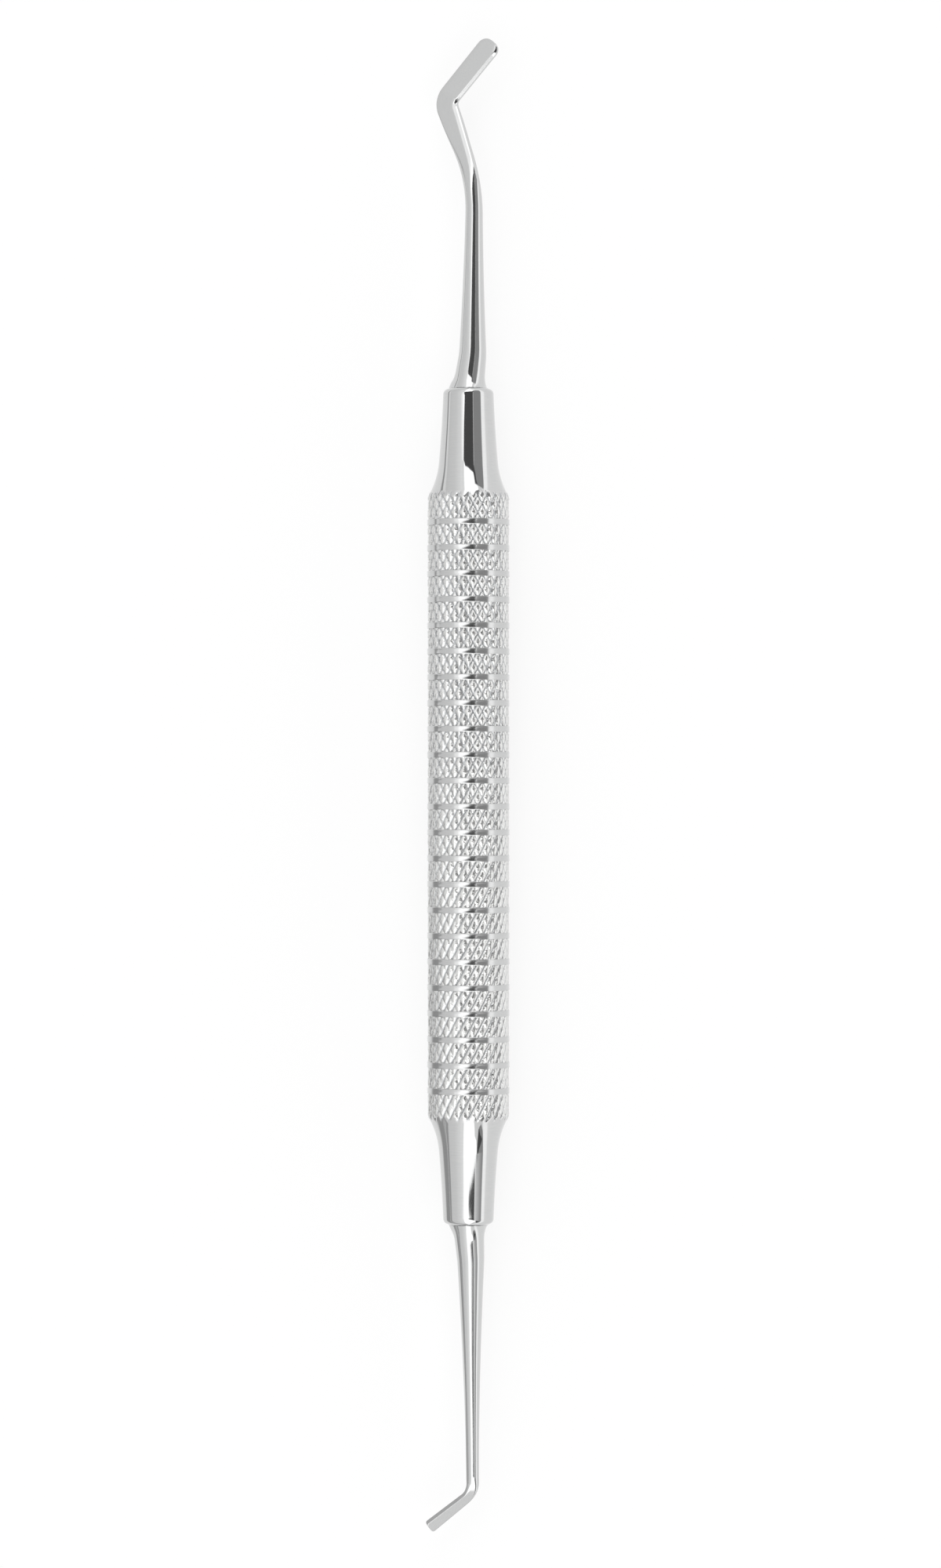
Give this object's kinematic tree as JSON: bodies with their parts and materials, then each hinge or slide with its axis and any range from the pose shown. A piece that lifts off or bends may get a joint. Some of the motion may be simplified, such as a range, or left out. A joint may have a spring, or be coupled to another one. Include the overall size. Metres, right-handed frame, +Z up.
{
  "type": "composite placement instrument",
  "caption": "Double-ended hand instrument: slim ringed and knurled steel handle with a bent flat blade at one end and a small bent paddle at the other.",
  "frame": {"origin": "under the middle of the handle, on the surface that its rings rest on", "axes": "+Y along the handle towards the blade end, +Z up from the surface that the handle lies on, +X to the right when seen from above with the blade end away"},
  "size_m": [0.0095, 0.1707, 0.0094],
  "materials": {
    "handle_steel": "knurled and turned stainless steel, polished",
    "blade_steel": "polished stainless steel",
    "paddle_steel": "polished stainless steel"
  },
  "bodies": {
    "root": {"handle": "handle_steel", "blade_end": "blade_steel", "paddle_end": "paddle_steel"}
  },
  "joints": []
}
